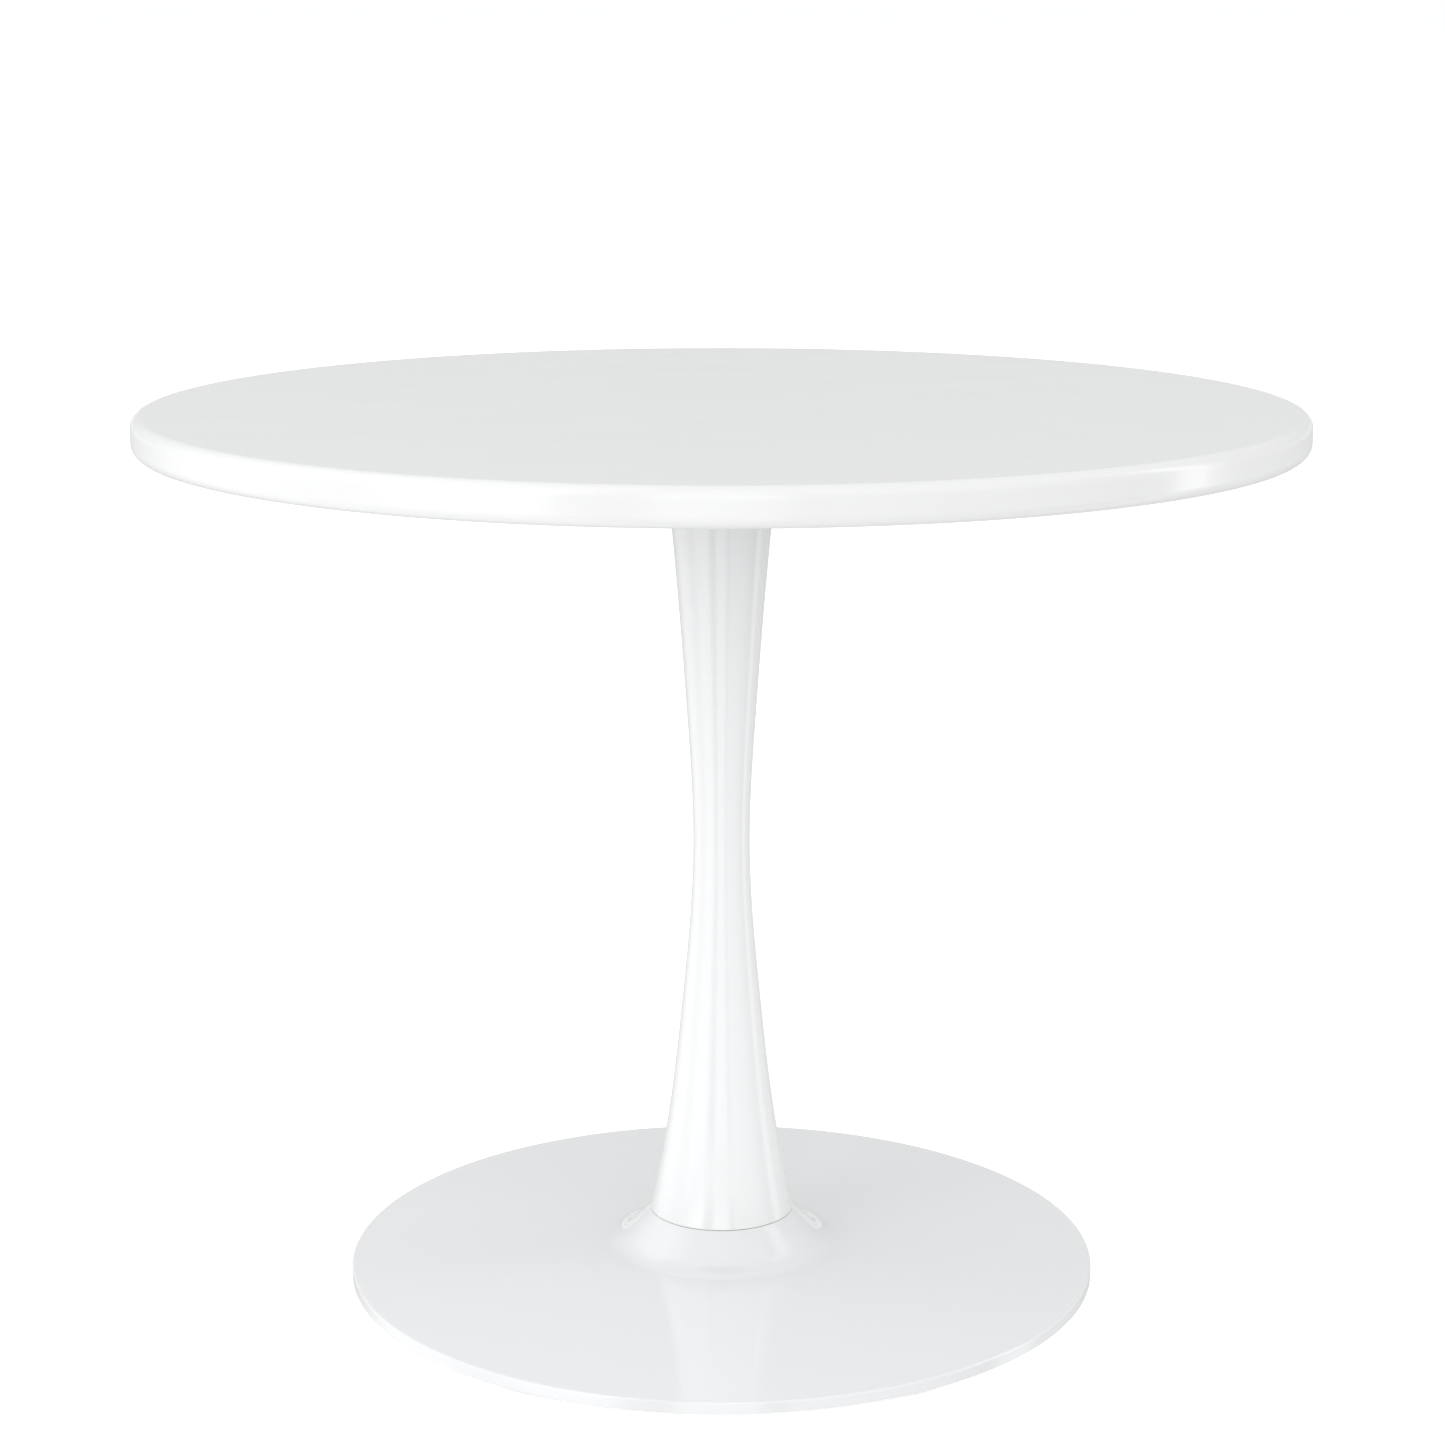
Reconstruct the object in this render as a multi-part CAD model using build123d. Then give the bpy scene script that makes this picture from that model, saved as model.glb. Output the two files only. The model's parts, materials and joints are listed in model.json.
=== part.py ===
from build123d import *
from math import cos, radians, sin, tan
import os

# Round pedestal table: a lacquered disc on a slender hourglass column, which stands on a wide, shallow,
# weighted base. Millimetres, +Z up. The origin is on the floor, on the axis of the column.

# Overall sizes
HEIGHT = 750.0
TOP_RADIUS = 480.0
TOP_THICKNESS = 30.0
TOP_EDGE_RADIUS = 9.0
BASE_RADIUS = 320.0

# Base cover: a spun steel skin with a lip, a shallow cone and a flared collar
FLOOR_GAP = 3.0
LIP_TOP = 12.4
LIP_EDGE_RADIUS = 2.0
PLATE_SLOPE = radians(3.0)
COLLAR_SLOPE = radians(45.0)
COLLAR_FILLET_RADIUS = 30.0
SEAM_RADIUS = 61.7
SEAM_HEIGHT = 52.5
COVER_WALL = 2.0
COVER_OPENING_RADIUS = 24.3
GASKET_THICKNESS = 0.5
GASKET_INSET = 0.7

# Column: an hourglass shell with a welded ring in each end. Its side runs smoothly through points of
# (radius, height)
COLUMN_WALL = 2.0
COLUMN_BOTTOM = SEAM_HEIGHT + GASKET_THICKNESS
SHOULDER = (44.4, 146.0)
SHIN = (33.5, 240.0)
WAIST = (24.0, 378.0)
CHEST = (28.3, 480.0)
NECK = (37.3, 600.0)
HEAD_RADIUS = 48.0
END_RING_THICKNESS = 8.0

# Joint of the column with the board
BOARD_BOTTOM = HEIGHT - TOP_THICKNESS
MOUNT_RADIUS = 150.0
MOUNT_THICKNESS = 5.0
MOUNT_BOTTOM = BOARD_BOTTOM - MOUNT_THICKNESS
MOUNT_CHAMFER = 1.0
MOUNT_SCREW_COUNT = 8
MOUNT_SCREW_CIRCLE = 120.0
INSERT_RADIUS = 5.0
INSERT_LENGTH = 13.0
PLATE_HUB_RADIUS = 20.0
PLATE_HUB_LENGTH = 25.0
PLATE_HUB_CHAMFER = 2.0
JAM_NUT_THICKNESS = 6.0

# Weighted underside of the base
WEIGHT_BOTTOM = 6.5
WEIGHT_THICKNESS = 5.0
WEIGHT_TOP = WEIGHT_BOTTOM + WEIGHT_THICKNESS
WEIGHT_RADIUS = 272.0
ACCESS_RADIUS = 30.0
PLUG_FLANGE_RADIUS = 34.0
PLUG_FLANGE_THICKNESS = 1.5
PLUG_WALL = 2.0
HUB_RADIUS = 55.0
HUB_BORE_RADIUS = 32.0
HUB_ROOF = 7.0
HUB_SPIGOT_RADIUS = 24.0
HUB_SPIGOT_HEIGHT = 6.0
HUB_SCREW_COUNT = 6
HUB_SCREW_CIRCLE = 44.0
HUB_SCREW_TOP = 26.0

# Brackets that hold the lip of the cover to the weight plate
BRACKET_COUNT = 6
BRACKET_INNER_RADIUS = 252.0
BRACKET_LENGTH = 81.0
BRACKET_WIDTH = 18.0
BRACKET_THICKNESS = 1.2
BRACKET_HEIGHT = 4.9
BRACKET_SCREW_CIRCLE = 262.0
BRACKET_SCREW_SHORTFALL = 0.5

# Screws, nuts and washers: shank radius, head radius and head height
M4_SHANK, M4_HEAD, M4_HEAD_HEIGHT = 2.0, 3.8, 1.7
M6_SHANK, M6_HEAD, M6_HEAD_HEIGHT = 3.0, 5.25, 3.3
M6_COUNTERSINK = 6.0
M6_WASHER_RADIUS, M6_WASHER_THICKNESS = 6.4, 1.6
SCREW_HOLE_CLEARANCE = 0.3
SCREW_SOCKET_DEPTH = 2.0
SCREW_SOCKET_ACROSS_FLATS = 4.0
BUTTON_ROUNDING = 0.45
BUTTON_SOCKET_WIDTH = 1.3
BUTTON_SOCKET_DEPTH = 0.6
M12_SHANK = 6.0
M12_NUT_ACROSS_FLATS, M12_NUT_HEIGHT = 19.0, 10.0
ROD_WASHER_RADIUS, ROD_WASHER_THICKNESS = 15.0, 2.5
LOCK_WASHER_RADIUS, LOCK_WASHER_THICKNESS = 10.5, 2.5
LOCK_WASHER_GAP, LOCK_WASHER_GAP_LEAN = 1.5, 20.0
ROD_CLEARANCE = 0.5
ROD_END_BELOW_NUT = 4.0
THREAD_RELIEF = 1.0
SHANK_CHAMFER = 1.0

# Levelling glides: a nylon sole on a flanged M8 screw
GLIDE_COUNT = 4
GLIDE_CIRCLE = 235.0
GLIDE_PHASE = 45.0
SOLE_RADIUS = 16.0
SOLE_THICKNESS = 3.5
SOLE_CHAMFER = 0.8
SOLE_POCKET_DEPTH = 1.5
SOLE_PIN_RADIUS = 3.0
M8_SHANK = 4.0
M8_FLANGE_ACROSS_FLATS = 17.0
M8_TOP = 14.2
RUNNING_CLEARANCE = 0.05
END_CLEARANCE = 0.1

STAND = (Align.CENTER, Align.CENTER, Align.MIN)


def disc(radius, bottom, top):
    """A plain disc or rod on the axis."""
    return Pos(0, 0, bottom) * Cylinder(radius, top - bottom, align=STAND)


def ring(inner, outer, bottom, top):
    """A flat ring or tube on the axis."""
    return disc(outer, bottom, top) - disc(inner, bottom, top)


def hexagon(across_flats, bottom, top):
    """A hexagonal prism on the axis."""
    flats = RegularPolygon(across_flats / 2, 6, major_radius=False)
    return Pos(0, 0, bottom) * extrude(flats, top - bottom)


def turned(*outline):
    """A solid turned about the axis from a closed outline of (radius, height) edges."""
    return revolve(Plane.XZ * make_face(outline), Axis.Z)


def around(piece, count, radius, phase=0.0):
    """Copies of a piece that was made on the axis, spaced evenly on a circle."""
    return [Rot(0, 0, phase + k * 360.0 / count) * Pos(radius, 0, 0) * piece for k in range(count)]


def cover_height(radius, depth=0.0):
    """Height of the cover's cone at a radius, or of a surface parallel to it at a depth."""
    return LIP_TOP + (BASE_RADIUS - radius) * tan(PLATE_SLOPE) - depth / cos(PLATE_SLOPE)


def uphill(slope):
    """The direction, as (radius, height), up a surface that falls outwards at a slope."""
    return Vector(-cos(slope), sin(slope))


def outward(slope):
    """The outward normal, as (radius, height), of a surface that falls outwards at a slope."""
    return Vector(sin(slope), cos(slope))


# Collar: a straight flare down from the seam, and a fillet from the end of the flare to its foot on the cone
FLARE_LINE_HEIGHT = SEAM_HEIGHT + SEAM_RADIUS * tan(COLLAR_SLOPE)
CORNER_RADIUS = (FLARE_LINE_HEIGHT - cover_height(0.0)) / (tan(COLLAR_SLOPE) - tan(PLATE_SLOPE))
CORNER = Vector(CORNER_RADIUS, cover_height(CORNER_RADIUS))
CORNER_TO_ARC = COLLAR_FILLET_RADIUS * tan((COLLAR_SLOPE - PLATE_SLOPE) / 2)
FLARE_END = CORNER + uphill(COLLAR_SLOPE) * CORNER_TO_ARC
FOOT = CORNER - uphill(PLATE_SLOPE) * CORNER_TO_ARC
SEAM = Vector(SEAM_RADIUS, SEAM_HEIGHT)


def make_base_cover():
    """The spun skin: lip, cone, collar and the flat flange that the column stands on."""
    lip_inside = BASE_RADIUS - COVER_WALL
    flange_bottom = SEAM_HEIGHT - COVER_WALL
    lip_foot = (BASE_RADIUS, FLOOR_GAP)
    lip_shoulder = (BASE_RADIUS, LIP_TOP)
    opening_top = (COVER_OPENING_RADIUS, SEAM_HEIGHT)
    opening_bottom = (COVER_OPENING_RADIUS, flange_bottom)
    flare_end_inside = FLARE_END - outward(COLLAR_SLOPE) * COVER_WALL
    neck_rise = (flange_bottom - flare_end_inside.Y) / sin(COLLAR_SLOPE)
    neck_inside = flare_end_inside + uphill(COLLAR_SLOPE) * neck_rise
    foot_inside = FOOT - outward(PLATE_SLOPE) * COVER_WALL
    shoulder_inside = (lip_inside, cover_height(lip_inside, COVER_WALL))
    lip_foot_inside = (lip_inside, FLOOR_GAP)
    cover = turned(
        Line(lip_foot, lip_shoulder),
        Line(lip_shoulder, FOOT),
        TangentArc(FOOT, FLARE_END, tangent=uphill(PLATE_SLOPE)),
        Line(FLARE_END, SEAM),
        Line(SEAM, opening_top),
        Line(opening_top, opening_bottom),
        Line(opening_bottom, neck_inside),
        Line(neck_inside, flare_end_inside),
        TangentArc(foot_inside, flare_end_inside, tangent=uphill(PLATE_SLOPE)),
        Line(foot_inside, shoulder_inside),
        Line(shoulder_inside, lip_foot_inside),
        Line(lip_foot_inside, lip_foot),
    )
    rims = cover.edges().filter_by(GeomType.CIRCLE).group_by(SortBy.RADIUS)[-1]
    return fillet(rims.sort_by(Axis.Z)[-1], LIP_EDGE_RADIUS)


def column_side(inset):
    """The hourglass side of the column from bottom to top, moved inwards by an inset."""
    foot, head = (SEAM_RADIUS, COLUMN_BOTTOM), (HEAD_RADIUS, MOUNT_BOTTOM)
    points = (foot, SHOULDER, SHIN, WAIST, CHEST, NECK, head)
    return Spline(*[(radius - inset, height) for radius, height in points])


def column_solid(inset):
    """The whole inside of the hourglass side."""
    side = column_side(inset)
    bottom, top = side @ 0, side @ 1
    axis_bottom, axis_top = (0, COLUMN_BOTTOM), (0, MOUNT_BOTTOM)
    return turned(side, Line(top, axis_top), Line(axis_top, axis_bottom), Line(axis_bottom, bottom))


def make_column():
    """The shell and its two end rings, which are turned to fit its inside."""
    core = column_solid(COLUMN_WALL)
    shell = column_solid(0.0) - core
    head = ring(PLATE_HUB_RADIUS, SEAM_RADIUS, MOUNT_BOTTOM - END_RING_THICKNESS, MOUNT_BOTTOM) & core
    foot = ring(HUB_SPIGOT_RADIUS, SEAM_RADIUS, COLUMN_BOTTOM, COLUMN_BOTTOM + END_RING_THICKNESS) & core
    return {"column_shell": shell, "column_top_ring": head, "column_bottom_ring": foot}


def button_screw(shank, head, head_height, seat, top):
    """A button-head screw that points up, with its head under the seat and a hexagon socket."""
    head_bottom = seat - head_height
    body = disc(shank, seat, top) + disc(head, head_bottom, seat)
    body = fillet(body.edges().group_by(Axis.Z)[0], BUTTON_ROUNDING * head_height)
    socket_top = head_bottom + BUTTON_SOCKET_DEPTH * head_height
    return body - hexagon(BUTTON_SOCKET_WIDTH * shank, head_bottom, socket_top)


def countersunk_screw():
    """A countersunk M6 screw that points up, flush with the underside of the weight plate."""
    cone = M6_COUNTERSINK - M6_SHANK
    head = Pos(0, 0, WEIGHT_BOTTOM + cone / 2) * Cone(M6_COUNTERSINK, M6_SHANK, cone)
    return head + disc(M6_SHANK, WEIGHT_BOTTOM, HUB_SCREW_TOP)


def make_board():
    """The lacquered board, its threaded inserts, the mounting plate and the fasteners of both."""
    board = disc(TOP_RADIUS, BOARD_BOTTOM, HEIGHT)
    board = fillet(board.edges().filter_by(GeomType.CIRCLE), TOP_EDGE_RADIUS)
    insert_top = BOARD_BOTTOM + INSERT_LENGTH
    washer_bottom = MOUNT_BOTTOM - M6_WASHER_THICKNESS
    insert_hole = disc(INSERT_RADIUS, BOARD_BOTTOM, insert_top)
    insert = ring(M6_SHANK, INSERT_RADIUS, BOARD_BOTTOM, insert_top)
    screw_hole = disc(M6_SHANK + SCREW_HOLE_CLEARANCE, MOUNT_BOTTOM, BOARD_BOTTOM)
    washer = ring(M6_SHANK + SCREW_HOLE_CLEARANCE, M6_WASHER_RADIUS, washer_bottom, MOUNT_BOTTOM)
    screw = button_screw(M6_SHANK, M6_HEAD, M6_HEAD_HEIGHT, washer_bottom, insert_top - THREAD_RELIEF)
    circle = (MOUNT_SCREW_COUNT, MOUNT_SCREW_CIRCLE)
    mounting_plate = disc(MOUNT_RADIUS, MOUNT_BOTTOM, BOARD_BOTTOM) - around(screw_hole, *circle)
    rims = mounting_plate.edges().filter_by(GeomType.CIRCLE).group_by(SortBy.RADIUS)[-1]
    mounting_plate = chamfer(rims.sort_by(Axis.Z)[0], MOUNT_CHAMFER)
    return {
        "tabletop_board": board - around(insert_hole, *circle),
        "threaded_inserts": around(insert, *circle),
        "mounting_plate": mounting_plate,
        "plate_washers": around(washer, *circle),
        "plate_screws": around(screw, *circle),
    }


def make_tie():
    """The rod that clamps base, column and mounting plate together, with all that is threaded on it."""
    hub_bottom = MOUNT_BOTTOM - PLATE_HUB_LENGTH
    jam_bottom = hub_bottom - JAM_NUT_THICKNESS
    roof_bottom = SEAM_HEIGHT - COVER_WALL - HUB_ROOF
    washer_bottom = roof_bottom - ROD_WASHER_THICKNESS
    lock_bottom = washer_bottom - LOCK_WASHER_THICKNESS
    nut_bottom = lock_bottom - M12_NUT_HEIGHT
    bore = disc(M12_SHANK, nut_bottom, MOUNT_BOTTOM)
    plate_hub = disc(PLATE_HUB_RADIUS, hub_bottom, MOUNT_BOTTOM)
    plate_hub = chamfer(plate_hub.edges().sort_by(Axis.Z)[0], PLATE_HUB_CHAMFER)
    rod = disc(M12_SHANK, nut_bottom - ROD_END_BELOW_NUT, MOUNT_BOTTOM - THREAD_RELIEF)
    lock_cut = Box(LOCK_WASHER_RADIUS, LOCK_WASHER_GAP, M12_NUT_HEIGHT)
    lock_gap = Pos(LOCK_WASHER_RADIUS, 0, lock_bottom) * Rot(LOCK_WASHER_GAP_LEAN, 0, 0) * lock_cut
    loose = M12_SHANK + ROD_CLEARANCE
    return {
        "plate_hub": plate_hub - bore,
        "rod_jam_nut": hexagon(M12_NUT_ACROSS_FLATS, jam_bottom, hub_bottom) - bore,
        "tie_rod": chamfer(rod.edges().filter_by(GeomType.CIRCLE), SHANK_CHAMFER),
        "rod_washer": ring(loose, ROD_WASHER_RADIUS, washer_bottom, roof_bottom),
        "rod_lock_washer": ring(loose, LOCK_WASHER_RADIUS, lock_bottom, washer_bottom) - lock_gap,
        "rod_nut": hexagon(M12_NUT_ACROSS_FLATS, nut_bottom, lock_bottom) - bore,
    }


def make_base_core():
    """The hub and the weight plate under the cover, the screws between them and the access plug."""
    roof_top = SEAM_HEIGHT - COVER_WALL
    screw = countersunk_screw()
    screws = around(screw, HUB_SCREW_COUNT, HUB_SCREW_CIRCLE)
    socket = hexagon(SCREW_SOCKET_ACROSS_FLATS, WEIGHT_BOTTOM, WEIGHT_BOTTOM + SCREW_SOCKET_DEPTH)
    spigot_top = roof_top + HUB_SPIGOT_HEIGHT
    hub = disc(HUB_RADIUS, WEIGHT_TOP, roof_top) + disc(HUB_SPIGOT_RADIUS, roof_top, spigot_top)
    hub -= disc(HUB_BORE_RADIUS, WEIGHT_TOP, roof_top - HUB_ROOF)
    hub -= disc(M12_SHANK + ROD_CLEARANCE, WEIGHT_TOP, spigot_top)
    stud_hole = disc(M8_SHANK + RUNNING_CLEARANCE, WEIGHT_BOTTOM, WEIGHT_TOP)
    bracket_hole = disc(M4_SHANK, WEIGHT_BOTTOM, WEIGHT_TOP)
    weight = ring(ACCESS_RADIUS, WEIGHT_RADIUS, WEIGHT_BOTTOM, WEIGHT_TOP) - screws
    weight -= around(stud_hole, GLIDE_COUNT, GLIDE_CIRCLE, GLIDE_PHASE)
    weight -= around(bracket_hole, BRACKET_COUNT, BRACKET_SCREW_CIRCLE)
    plug = disc(ACCESS_RADIUS, WEIGHT_BOTTOM, WEIGHT_TOP)
    plug += disc(PLUG_FLANGE_RADIUS, WEIGHT_BOTTOM - PLUG_FLANGE_THICKNESS, WEIGHT_BOTTOM)
    plug -= disc(ACCESS_RADIUS - PLUG_WALL, WEIGHT_BOTTOM, WEIGHT_TOP)
    return {
        "base_hub": hub - screws,
        "weight_plate": weight,
        "hub_screws": around(screw - socket, HUB_SCREW_COUNT, HUB_SCREW_CIRCLE),
        "access_plug": plug,
    }


def make_brackets():
    """Angle brackets under the weight plate, welded to the lip of the cover, and their screws."""
    lip_inside = BASE_RADIUS - COVER_WALL
    leg_bottom = WEIGHT_BOTTOM - BRACKET_THICKNESS
    angle = ring(BRACKET_INNER_RADIUS, lip_inside, leg_bottom, WEIGHT_BOTTOM)
    angle += ring(lip_inside - BRACKET_THICKNESS, lip_inside, leg_bottom, leg_bottom + BRACKET_HEIGHT)
    angle -= around(disc(M4_SHANK, leg_bottom, WEIGHT_BOTTOM), BRACKET_COUNT, BRACKET_SCREW_CIRCLE)
    bar = Box(BRACKET_LENGTH, BRACKET_WIDTH, HEIGHT)
    screw_top = WEIGHT_TOP - BRACKET_SCREW_SHORTFALL
    screw = button_screw(M4_SHANK, M4_HEAD, M4_HEAD_HEIGHT, leg_bottom, screw_top)
    bars = around(bar, BRACKET_COUNT, (BRACKET_INNER_RADIUS + BASE_RADIUS) / 2)
    return {
        "cover_brackets": [angle & bar for bar in bars],
        "bracket_screws": around(screw, BRACKET_COUNT, BRACKET_SCREW_CIRCLE),
    }


def make_glides():
    """Each glide: a nylon sole that stands on the floor and the flanged screw that turns in it."""
    pocket_bottom = SOLE_THICKNESS - SOLE_POCKET_DEPTH
    flange_bottom = SOLE_THICKNESS + END_CLEARANCE
    sole = disc(SOLE_RADIUS, 0, SOLE_THICKNESS)
    sole = chamfer(sole.edges().filter_by(GeomType.CIRCLE), SOLE_CHAMFER)
    sole -= disc(SOLE_PIN_RADIUS + RUNNING_CLEARANCE, pocket_bottom, SOLE_THICKNESS)
    stud = disc(M8_SHANK, flange_bottom, M8_TOP)
    stud = chamfer(stud.edges().filter_by(GeomType.CIRCLE).sort_by(Axis.Z)[-1], SHANK_CHAMFER)
    screw = stud + hexagon(M8_FLANGE_ACROSS_FLATS, flange_bottom, WEIGHT_BOTTOM - END_CLEARANCE)
    screw += disc(SOLE_PIN_RADIUS, pocket_bottom + END_CLEARANCE, flange_bottom)
    soles = around(sole, GLIDE_COUNT, GLIDE_CIRCLE, GLIDE_PHASE)
    screws = around(screw, GLIDE_COUNT, GLIDE_CIRCLE, GLIDE_PHASE)
    named_soles = {f"glide_sole_{k + 1}": piece for k, piece in enumerate(soles)}
    named_screws = {f"glide_screw_{k + 1}": piece for k, piece in enumerate(screws)}
    return named_soles | named_screws


def make_table():
    """Every sub-part of the table by its name."""
    gasket_outer = SEAM_RADIUS - GASKET_INSET
    gasket = ring(HUB_SPIGOT_RADIUS, gasket_outer, SEAM_HEIGHT, COLUMN_BOTTOM)
    cover = {"base_cover": make_base_cover(), "seam_gasket": gasket}
    upper = make_board() | make_column() | make_tie()
    return upper | cover | make_base_core() | make_brackets() | make_glides()


os.makedirs("parts", exist_ok=True)
for name, piece in make_table().items():
    solids = piece if isinstance(piece, list) else [piece]
    shapes = [solid for item in solids for solid in item.solids()]
    shape = shapes[0] if len(shapes) == 1 else Compound(children=shapes)
    export_step(shape, f"parts/{name}.step")
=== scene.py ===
import json
from math import cos, pi, radians, sin, tan

import bmesh
import bpy
import numpy
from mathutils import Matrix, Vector


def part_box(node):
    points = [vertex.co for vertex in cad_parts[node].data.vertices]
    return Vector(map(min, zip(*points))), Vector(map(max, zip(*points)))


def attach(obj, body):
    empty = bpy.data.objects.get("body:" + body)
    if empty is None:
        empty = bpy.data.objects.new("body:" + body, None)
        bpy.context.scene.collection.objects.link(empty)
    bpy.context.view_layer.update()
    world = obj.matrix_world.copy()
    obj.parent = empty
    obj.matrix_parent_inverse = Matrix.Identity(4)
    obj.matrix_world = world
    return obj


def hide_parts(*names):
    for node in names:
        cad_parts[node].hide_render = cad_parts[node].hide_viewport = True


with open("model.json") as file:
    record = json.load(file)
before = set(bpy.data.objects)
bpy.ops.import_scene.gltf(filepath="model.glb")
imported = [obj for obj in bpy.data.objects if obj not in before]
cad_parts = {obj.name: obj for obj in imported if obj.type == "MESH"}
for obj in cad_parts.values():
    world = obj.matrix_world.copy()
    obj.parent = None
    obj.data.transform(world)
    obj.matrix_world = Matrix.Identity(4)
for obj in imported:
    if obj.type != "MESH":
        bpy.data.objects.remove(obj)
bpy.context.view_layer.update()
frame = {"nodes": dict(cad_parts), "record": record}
nodes = frame["nodes"]


# --- Node helpers ---------------------------------------------------------------------------------


# The range that most of a noise's values lie in
NOISE_LOW, NOISE_HIGH = 0.3, 0.7


def colour_ramp(tree, factor, stops):
    """A colour ramp through (position, colour) stops."""
    node = tree.nodes.new("ShaderNodeValToRGB")
    elements = node.color_ramp.elements
    while len(elements) < len(stops):
        elements.new(0.5)
    for element, (position, colour) in zip(elements, stops):
        element.position = position
        element.color = (*colour, 1.0)
    tree.links.new(factor, node.inputs["Fac"])
    return node.outputs["Color"]


class Graph:
    """A material's nodes, added and linked by short calls."""

    def __init__(self, name):
        self.material = bpy.data.materials.new(name)
        self.material.use_nodes = True
        self.tree = self.material.node_tree
        self.shader = self.tree.nodes["Principled BSDF"]
        self.place = self.add("ShaderNodeTexCoord").outputs["Object"]

    def add(self, kind, **settings):
        node = self.tree.nodes.new(kind)
        for key, value in settings.items():
            setattr(node, key, value)
        return node

    def link(self, source, target):
        self.tree.links.new(source, target)

    def noise(self, scale, detail=4.0):
        """Noise over the piece, with the scale in cycles per metre."""
        node = self.add("ShaderNodeTexNoise")
        node.inputs["Scale"].default_value = scale
        node.inputs["Detail"].default_value = detail
        self.link(self.place, node.inputs["Vector"])
        return node.outputs["Fac"]

    def spread(self, factor, low, high):
        """The noise's usual range stretched from low to high."""
        node = self.add("ShaderNodeMapRange")
        node.inputs["From Min"].default_value = NOISE_LOW
        node.inputs["From Max"].default_value = NOISE_HIGH
        node.inputs["To Min"].default_value = low
        node.inputs["To Max"].default_value = high
        self.link(factor, node.inputs["Value"])
        return node.outputs["Result"]

    def colour(self, factor, *stops):
        """The base colour, through (position, colour) stops."""
        self.link(colour_ramp(self.tree, factor, stops), self.shader.inputs["Base Color"])

    def roughness(self, source, low, high):
        """The roughness, spread from low to high."""
        self.link(self.spread(source, low, high), self.shader.inputs["Roughness"])

    def bump(self, height, depth):
        """A bump with its depth in metres."""
        node = self.add("ShaderNodeBump")
        node.inputs["Strength"].default_value = 1.0
        node.inputs["Distance"].default_value = depth
        self.link(height, node.inputs["Height"])
        self.link(node.outputs["Normal"], self.shader.inputs["Normal"])

    def set(self, **values):
        """Uniform values, straight on the shader's sockets."""
        for key, value in values.items():
            self.shader.inputs[key.replace("_", " ")].default_value = value


def grey(level, warmth=0.0):
    """A near-neutral colour; positive warmth is warmer."""
    return (level * (1.0 + warmth), level, level * (1.0 - warmth))


# --- Materials ------------------------------------------------------------------------------------


# The darkest tone of the lacquer, as a share of its lightest
LACQUER_DRIFT = 0.994


def lacquer(name, level, warmth, gloss_low, gloss_high, peel, coat):
    """Sprayed white lacquer: barely visible tone drift, uneven gloss and a fine orange peel."""
    g = Graph(name)
    darkest, lightest = grey(level * LACQUER_DRIFT, warmth), grey(level, warmth)
    g.colour(g.noise(3.0, detail=3.0), (NOISE_LOW, darkest), (NOISE_HIGH, lightest))
    g.roughness(g.noise(14.0, detail=5.0), gloss_low, gloss_high)
    g.bump(g.noise(420.0, detail=2.0), peel)
    g.set(Coat_Weight=coat, Coat_Roughness=0.04, Coat_IOR=1.5, IOR=1.5)
    return g.material


def powder_coat(name):
    """Fine-textured black powder coating."""
    g = Graph(name)
    g.colour(g.noise(40.0), (0.35, grey(0.028)), (NOISE_HIGH, grey(0.042)))
    g.roughness(g.noise(90.0), 0.48, 0.62)
    g.bump(g.noise(1600.0, detail=3.0), 0.00006)
    return g.material


def zinc(name):
    """Zinc plating with a faint cloudy passivation."""
    g = Graph(name)
    cloud = g.noise(120.0, detail=6.0)
    g.colour(cloud, (NOISE_LOW, (0.56, 0.57, 0.60)), (0.55, (0.66, 0.66, 0.67)), (0.75, (0.66, 0.64, 0.58)))
    g.roughness(g.noise(500.0), 0.26, 0.42)
    g.bump(g.noise(2500.0, detail=2.0), 0.00001)
    g.set(Metallic=1.0)
    return g.material


def turned_steel(name):
    """Bare steel with the rings of a lathe tool."""
    g = Graph(name)
    tool_marks = g.add("ShaderNodeTexWave", wave_type="RINGS", rings_direction="Z")
    tool_marks.inputs["Scale"].default_value = 260.0
    tool_marks.inputs["Distortion"].default_value = 0.6
    g.link(g.place, tool_marks.inputs["Vector"])
    g.colour(g.noise(80.0), (NOISE_LOW, (0.34, 0.33, 0.32)), (NOISE_HIGH, (0.46, 0.45, 0.44)))
    g.roughness(g.noise(300.0), 0.30, 0.46)
    g.bump(tool_marks.outputs["Fac"], 0.00001)
    g.set(Metallic=1.0)
    return g.material


def brass(name):
    """Plain turned brass, a little dulled."""
    g = Graph(name)
    g.colour(g.noise(150.0), (NOISE_LOW, (0.62, 0.47, 0.20)), (NOISE_HIGH, (0.78, 0.62, 0.32)))
    g.roughness(g.noise(400.0), 0.24, 0.40)
    g.bump(g.noise(2000.0), 0.00001)
    g.set(Metallic=1.0)
    return g.material


def moulded(name, low, high, grain, depth):
    """Rubber or moulded plastic in a dark grey, with a fine surface grain."""
    g = Graph(name)
    g.colour(g.noise(70.0), (NOISE_LOW, grey(low)), (NOISE_HIGH, grey(high)))
    g.roughness(g.noise(200.0), 0.50, 0.70)
    g.bump(g.noise(grain, detail=3.0), depth)
    return g.material


def nylon(name):
    """Milky moulded nylon, a little cloudy."""
    g = Graph(name)
    g.colour(g.noise(260.0, detail=6.0), (NOISE_LOW, grey(0.66, 0.01)), (0.6, grey(0.80, 0.01)))
    g.roughness(g.noise(400.0), 0.38, 0.55)
    g.bump(g.noise(1500.0, detail=3.0), 0.00003)
    return g.material


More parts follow.
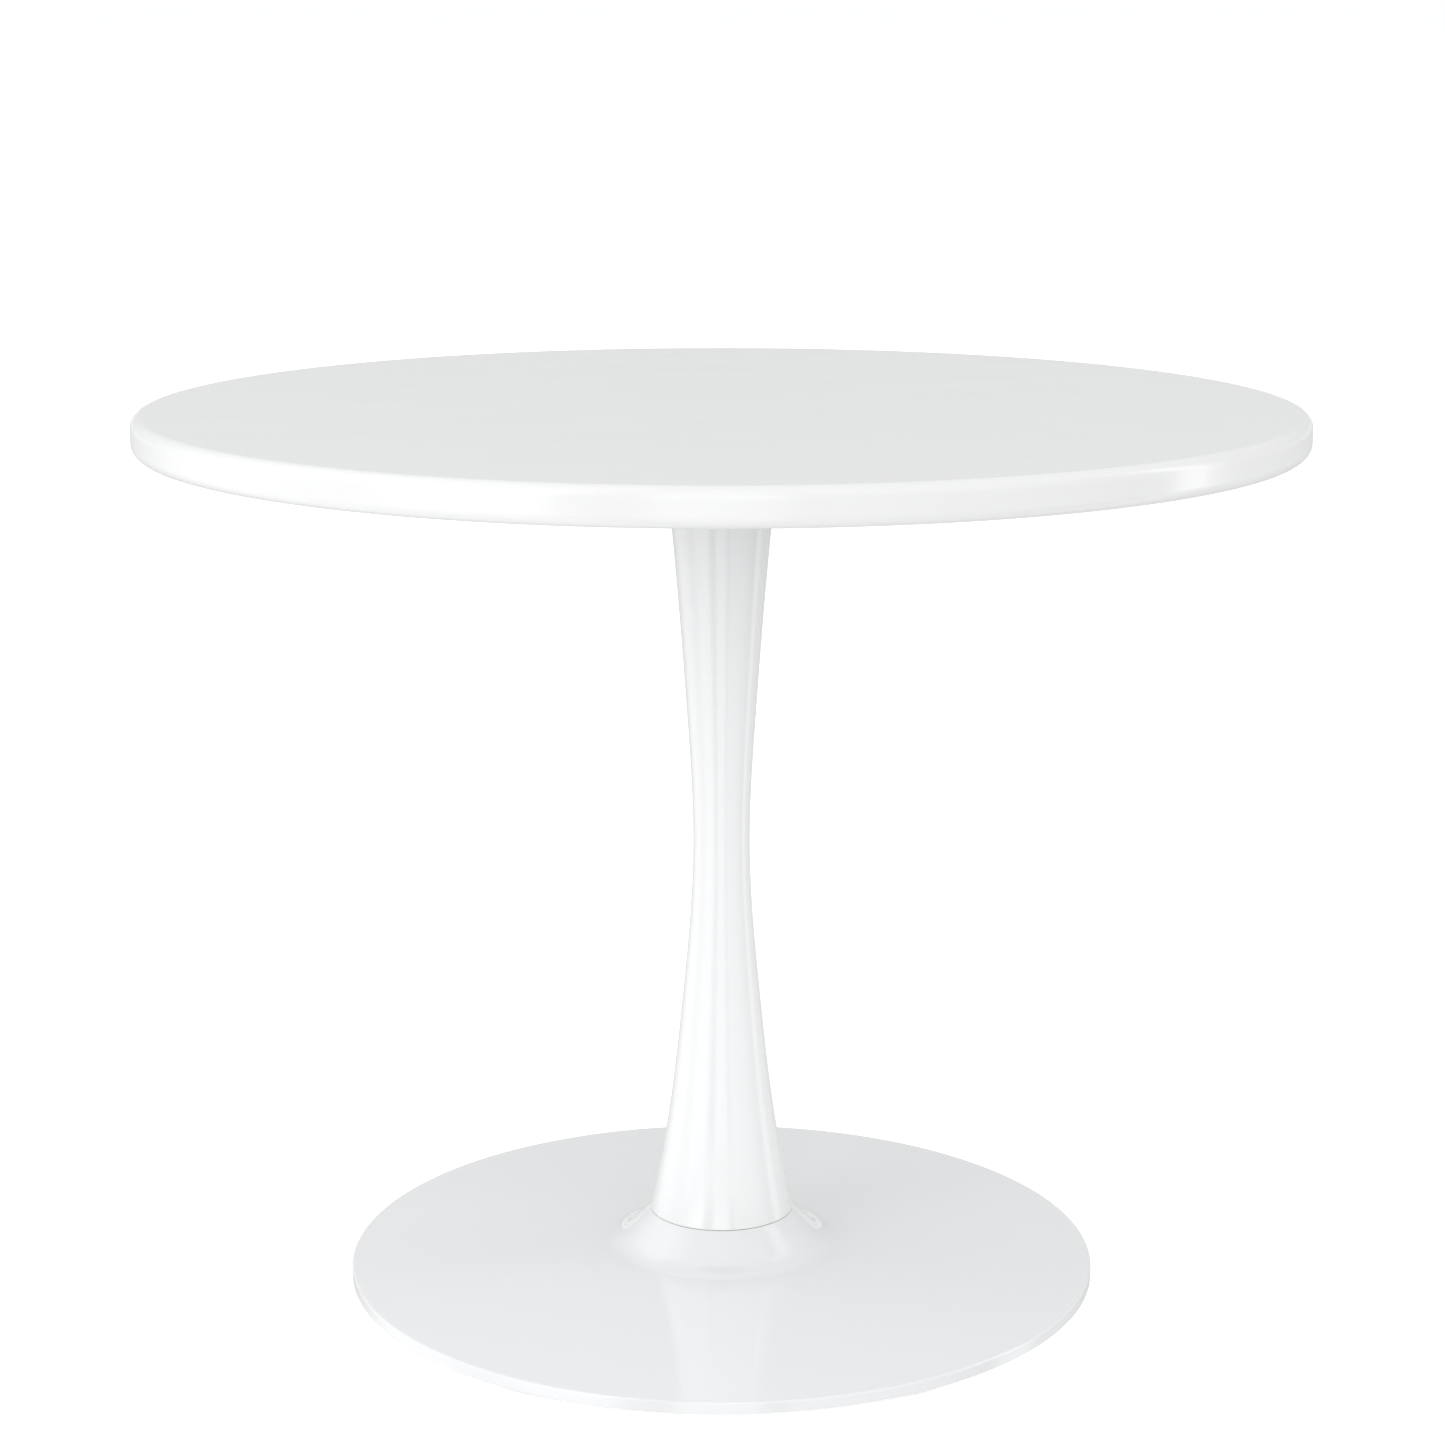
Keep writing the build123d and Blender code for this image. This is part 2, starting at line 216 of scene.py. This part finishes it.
def painted_floor(name):
    """Plain pale floor paint, a little self-lit so that it stays near white."""
    g = Graph(name)
    g.colour(g.noise(0.6), (NOISE_LOW, grey(0.90)), (NOISE_HIGH, grey(0.92)))
    g.set(Roughness=0.9, Emission_Color=(1.0, 1.0, 1.0, 1.0), Emission_Strength=0.45)
    return g.material


MATERIALS = {
    "top_lacquer": lacquer(
        "top_lacquer", level=0.832, warmth=0.004, gloss_low=0.225, gloss_high=0.245, peel=0.000001, coat=0.35
    ),
    "column_lacquer": lacquer(
        "column_lacquer", level=0.895, warmth=0.0, gloss_low=0.10, gloss_high=0.16, peel=0.000003, coat=1.0
    ),
    "base_lacquer": lacquer(
        "base_lacquer", level=0.845, warmth=-0.004, gloss_low=0.10, gloss_high=0.16, peel=0.000003, coat=1.0
    ),
    "black_steel": powder_coat("black_steel"),
    "zinc_steel": zinc("zinc_steel"),
    "raw_steel": turned_steel("raw_steel"),
    "brass_insert": brass("brass_insert"),
    "gasket_rubber": moulded("gasket_rubber", low=0.20, high=0.26, grain=900.0, depth=0.00004),
    "black_plastic": moulded("black_plastic", low=0.035, high=0.055, grain=1800.0, depth=0.00003),
    "white_nylon": nylon("white_nylon"),
}


def dress_nodes():
    """Each CAD node gets the procedural material of its slot in the record."""
    for entry in frame["record"]["subparts"]:
        piece = nodes[entry["node"]]
        for slot in piece.material_slots:
            slot.material = MATERIALS[entry["material_slot"]]


# --- Turned shells --------------------------------------------------------------------------------

# Steps in a full turn and in a rounded corner
TURN_STEPS = 240
ARC_STEPS = 12

# How far in from its ends a straight run has guard points, and how long the run has to be to get them
GUARD = 0.0006
GUARDED_RUN = 5 * GUARD
SHARP_ANGLE = radians(30.0)
WELD = 0.0000001

# Board
TOP_RADIUS = 0.480
TOP_EDGE = 0.009

# Base cover: lip, cone, collar and flange
BASE_RADIUS = 0.320
FLOOR_GAP = 0.003
LIP_TOP = 0.0124
LIP_EDGE = 0.002
PLATE_SLOPE = radians(3.0)
COLLAR_SLOPE = radians(45.0)
COLLAR_FILLET = 0.030
SEAM_RADIUS = 0.0617
SEAM_HEIGHT = 0.0525
OPENING_RADIUS = 0.0243
WALL = 0.002
EDGE_BREAK = 0.0002

# Column: the rings along its side, and how squarely a CAD point has to face outwards to lie on that side
COLUMN_LEVELS = 80
OUTWARD = 0.8


def rounded(corners):
    """The outline of (radius, height) points that runs through corners of (radius, height, rounding)."""
    outline = []
    for k, (radius, height, rounding) in enumerate(corners):
        corner = Vector((radius, height))
        if not rounding:
            outline.append(corner)
            continue
        back = (Vector(corners[k - 1][:2]) - corner).normalized()
        on = (Vector(corners[(k + 1) % len(corners)][:2]) - corner).normalized()
        half = back.angle(on) / 2
        centre = corner + (back + on).normalized() * rounding / sin(half)
        start = (corner + back * rounding / tan(half) - centre).normalized()
        end = (corner + on * rounding / tan(half) - centre).normalized()
        for step in range(ARC_STEPS + 1):
            outline.append(centre + start.slerp(end, step / ARC_STEPS).normalized() * rounding)
    return outline


def guarded(outline, closed):
    """The outline with a point close to each end of its long straight runs, to keep their shading flat."""
    guarded_outline = []
    following = outline[1:] + outline[:1] if closed else outline[1:]
    for point, after in zip(outline, following):
        guarded_outline.append(point)
        run = after - point
        if run.length > GUARDED_RUN:
            step = run.normalized() * GUARD
            guarded_outline += [point + step, after - step]
    return guarded_outline if closed else guarded_outline + outline[-1:]


def turned(node, slot, corners, closed):
    """A finely turned skin in place of a CAD node, from the corners of its outline."""
    name = node + "_skin"
    outline = guarded(rounded(corners), closed)
    shape = bmesh.new()
    ring = [shape.verts.new((point.x, 0.0, point.y)) for point in outline]
    following = ring[1:] + ring[:1] if closed else ring[1:]
    edges = [shape.edges.new(pair) for pair in zip(ring, following)]
    whole_turn = {"cent": (0, 0, 0), "axis": (0, 0, 1), "angle": 2 * pi, "steps": TURN_STEPS}
    bmesh.ops.spin(shape, geom=ring + edges, use_merge=True, **whole_turn)
    bmesh.ops.remove_doubles(shape, verts=shape.verts, dist=WELD)
    bmesh.ops.recalc_face_normals(shape, faces=shape.faces)
    mesh = bpy.data.meshes.new(name)
    shape.to_mesh(mesh)
    shape.free()
    mesh.shade_smooth()
    mesh.set_sharp_from_angle(angle=SHARP_ANGLE)
    mesh.materials.append(MATERIALS[slot])
    piece = bpy.data.objects.new(name, mesh)
    bpy.context.scene.collection.objects.link(piece)
    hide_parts(node)
    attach(piece, "table")


def make_board():
    """The lacquered board, with its rounded rim."""
    bottom, top = (corner.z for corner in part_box("tabletop_board"))
    corners = [(0.0, top, 0), (TOP_RADIUS, top, TOP_EDGE), (TOP_RADIUS, bottom, TOP_EDGE), (0.0, bottom, 0)]
    turned("tabletop_board", "top_lacquer", corners, closed=False)


def make_column():
    """The hourglass shell, with the radii of the CAD node's own outer side."""
    low, high = (corner.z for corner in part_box("column_shell"))
    side = []
    for vertex in nodes["column_shell"].data.vertices:
        radius = vertex.co.xy.length
        if vertex.co.xy.dot(vertex.normal.xy) > OUTWARD * radius:
            side.append((vertex.co.z, radius))
    heights, radii = zip(*sorted(side))
    levels = numpy.linspace(low, high, COLUMN_LEVELS)
    level_radii = numpy.interp(levels, heights, radii)
    outside = [(float(radius), float(level), 0) for radius, level in zip(level_radii, levels)]
    inside = [(radius - WALL, level, 0) for radius, level, _ in outside]
    outside[0] = (SEAM_RADIUS, low, EDGE_BREAK)
    turned("column_shell", "column_lacquer", inside + outside[::-1], closed=True)


def meeting(upper, lower):
    """The (radius, height) where the flare through one point crosses the cone through another."""
    flare, cone = tan(COLLAR_SLOPE), tan(PLATE_SLOPE)
    radius = (upper.y + upper.x * flare - lower.y - lower.x * cone) / (flare - cone)
    return radius, upper.y - (radius - upper.x) * flare


def make_cover():
    """The spun foot cover: flange, straight flare, fillet, cone and lip, and the same inside."""
    seam, lip = Vector((SEAM_RADIUS, SEAM_HEIGHT)), Vector((BASE_RADIUS, LIP_TOP))
    seam_inside = seam - Vector((sin(COLLAR_SLOPE), cos(COLLAR_SLOPE))) * WALL
    lip_inside = lip - Vector((sin(PLATE_SLOPE), cos(PLATE_SLOPE))) * WALL
    flange_bottom = SEAM_HEIGHT - WALL
    neck_inside = seam_inside.x + (seam_inside.y - flange_bottom) / tan(COLLAR_SLOPE)
    shoulder_inside = lip_inside.y + (lip_inside.x - BASE_RADIUS + WALL) * tan(PLATE_SLOPE)
    corners = [
        (OPENING_RADIUS, SEAM_HEIGHT, 0),
        (*seam, EDGE_BREAK),
        (*meeting(seam, lip), COLLAR_FILLET),
        (*lip, LIP_EDGE),
        (BASE_RADIUS, FLOOR_GAP, EDGE_BREAK),
        (BASE_RADIUS - WALL, FLOOR_GAP, EDGE_BREAK),
        (BASE_RADIUS - WALL, shoulder_inside, 0),
        (*meeting(seam_inside, lip_inside), COLLAR_FILLET + WALL),
        (neck_inside, flange_bottom, 0),
        (OPENING_RADIUS, flange_bottom, 0),
    ]
    turned("base_cover", "base_lacquer", corners, closed=True)


# --- Room, light and camera -----------------------------------------------------------------------

FLOOR_SIZE = 800.0
SKY_WARMTH = -0.004

# The sky from straight down (0) through the horizon (0.5) to straight up (1), and its brightness there
SKY = ((0.48, 1.10), (0.499, 1.0), (0.51, 1.0), (0.53, 1.0), (0.66, 1.12), (0.86, 1.25), (0.95, 1.15))

# Where the walls show (1), and where the horizon stays plain (0)
WALLS = ((0.485, 1.0), (0.496, 0.0), (0.51, 0.0), (0.525, 1.0))

# The room round the table, from the left (0) over the front (0.25) and the right (0.5) to the back (0.75)
ROOM = (
    (0.000, 0.86), (0.055, 0.86), (0.080, 1.20), (0.150, 1.24), (0.180, 0.36), (0.206, 0.36), (0.218, 1.16),
    (0.280, 1.16), (0.288, 0.48), (0.300, 0.48), (0.312, 0.92), (0.420, 0.90), (0.465, 0.66), (0.500, 0.50),
    (0.515, 1.16), (0.545, 1.16), (0.560, 0.70), (0.640, 0.68), (0.750, 0.64), (0.860, 0.74), (0.925, 1.10),
    (0.960, 1.10),
)

# The input and output sockets of a colour Mix node, which go by number because their names repeat
MIX_A, MIX_B, MIX_RESULT = 6, 7, 2

# Where the lamps are aimed
COLUMN_MIDDLE = Vector((0.0, 0.0, 0.45))

# Lamps: name, azimuth in degrees, distance, height, width and length in metres, power in watts
SOFTBOXES = (
    ("key_left", -42.0, 2.6, 1.2, 1.3, 2.2, 8.0),
    ("front", 0.0, 4.2, 1.5, 1.9, 2.4, 9.5),
    ("strip_right", 90.0, 2.4, 1.1, 0.4, 2.0, 4.0),
)

# Camera: its place in metres, its tilt down in degrees, its lens and sensor in millimetres
CAMERA_PLACE = (0.0008, -2.6303, 1.0567)
CAMERA_PITCH = 12.324
LENS = 79.74
SENSOR = 36.0


def make_floor():
    """A wide floor that the camera sees and that reflections and soft light leave out."""
    bpy.ops.mesh.primitive_plane_add(size=FLOOR_SIZE)
    floor = bpy.context.object
    floor.name = "floor"
    floor.data.materials.append(painted_floor("floor_paint"))
    floor.visible_diffuse = False
    floor.visible_glossy = False


def sky_ramp(tree, factor, levels):
    """The world's brightness through (position, level) stops."""
    return colour_ramp(tree, factor, [(position, grey(level, SKY_WARMTH)) for position, level in levels])


def make_world():
    """Soft studio ambience: plain at the horizon, brighter overhead, with lighter and darker walls around."""
    world = bpy.data.worlds.new("studio")
    bpy.context.scene.world = world
    world.use_nodes = True
    tree = world.node_tree
    place = tree.nodes.new("ShaderNodeTexCoord")
    split = tree.nodes.new("ShaderNodeSeparateXYZ")
    height = tree.nodes.new("ShaderNodeMapRange")
    height.inputs["From Min"].default_value = -1.0
    around = tree.nodes.new("ShaderNodeTexGradient")
    around.gradient_type = "RADIAL"
    tree.links.new(place.outputs["Generated"], split.inputs["Vector"])
    tree.links.new(split.outputs["Z"], height.inputs["Value"])
    tree.links.new(place.outputs["Generated"], around.inputs["Vector"])
    both = tree.nodes.new("ShaderNodeMix")
    both.data_type = "RGBA"
    both.blend_type = "MULTIPLY"
    tree.links.new(sky_ramp(tree, height.outputs["Result"], WALLS), both.inputs["Factor"])
    tree.links.new(sky_ramp(tree, height.outputs["Result"], SKY), both.inputs[MIX_A])
    tree.links.new(sky_ramp(tree, around.outputs["Fac"], ROOM), both.inputs[MIX_B])
    tree.links.new(both.outputs[MIX_RESULT], tree.nodes["Background"].inputs["Color"])


def softbox(name, azimuth, distance, height, width, tall, power):
    """A tall area light that faces the column; azimuth 0 is on the camera's side, positive to the right."""
    light = bpy.data.lights.new(name, "AREA")
    light.shape = "RECTANGLE"
    light.size = width
    light.size_y = tall
    light.energy = power
    stand = bpy.data.objects.new(name, light)
    bpy.context.scene.collection.objects.link(stand)
    turn = radians(azimuth)
    place = Vector((distance * sin(turn), -distance * cos(turn), height))
    stand.location = place
    stand.rotation_euler = (COLUMN_MIDDLE - place).to_track_quat("-Z", "Y").to_euler()


def make_camera():
    """The camera of the photograph."""
    data = bpy.data.cameras.new("camera")
    data.lens = LENS
    data.sensor_width = SENSOR
    camera = bpy.data.objects.new("camera", data)
    bpy.context.scene.collection.objects.link(camera)
    camera.location = CAMERA_PLACE
    camera.rotation_euler = (radians(90.0 - CAMERA_PITCH), 0.0, 0.0)
    bpy.context.scene.camera = camera


dress_nodes()
make_board()
make_column()
make_cover()
make_floor()
make_world()
for lamp in SOFTBOXES:
    softbox(*lamp)
make_camera()
bpy.context.scene.view_settings.view_transform = "Standard"
